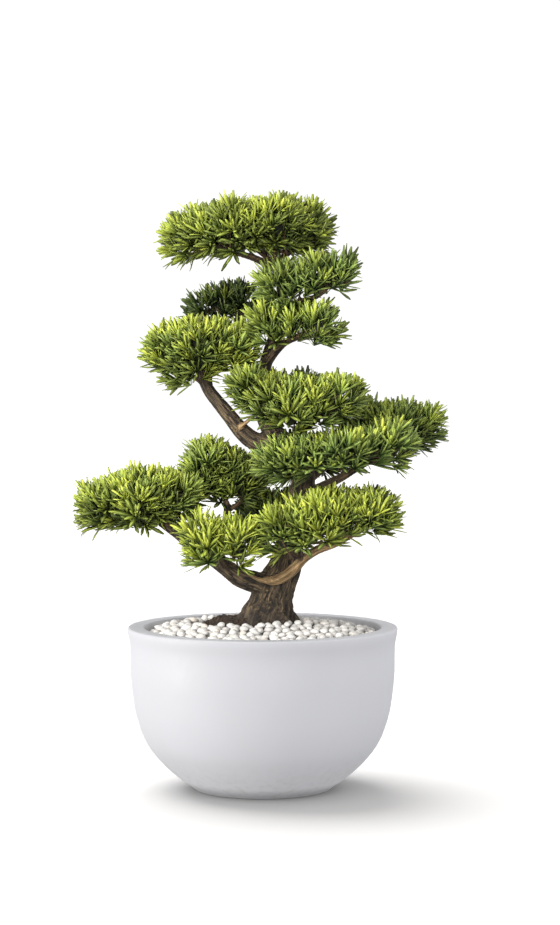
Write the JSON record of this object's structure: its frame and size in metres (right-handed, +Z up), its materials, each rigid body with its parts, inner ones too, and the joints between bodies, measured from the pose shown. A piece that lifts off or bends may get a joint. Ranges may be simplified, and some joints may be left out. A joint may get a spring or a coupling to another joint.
{
  "type": "podocarpus bonsai in a white bowl planter",
  "caption": "Podocarpus bonsai with a leaning trunk and flat leaf pads, standing in a round white bowl planter topped with white pebbles.",
  "frame": {"origin": "centre of the pot's flat base, on the surface it stands on", "axes": "+Z up, +X to the viewer's right, +Y away from the viewer"},
  "size_m": [0.6993, 0.5, 1.0997],
  "materials": {
    "pot_ceramic": "matte white with a faint lavender tint",
    "soil": "dark crumbly bark-based potting mix",
    "pebbles": "tumbled white stone, dull",
    "bark": "grey-brown fissured bark",
    "leaves": "leathery leaves with a soft gloss, yellow-green at the new tips"
  },
  "bodies": {
    "root": {"pot": "pot_ceramic", "soil": "soil", "white_pebbles": "pebbles", "trunk_and_branches": "bark", "pad_crown": "leaves", "pad_upper_right": "leaves", "pad_upper_middle": "leaves", "pad_upper_left_rear": "leaves", "pad_left_middle": "leaves", "pad_left_middle_rear": "leaves", "pad_middle": "leaves", "pad_middle_rear": "leaves", "pad_right_rear": "leaves", "pad_right": "leaves", "pad_right_low_rear": "leaves", "pad_lower_left": "leaves", "pad_lower_left_rear": "leaves", "pad_lower_front": "leaves", "pad_lower_right": "leaves", "pad_lower_rear": "leaves"}
  },
  "joints": []
}
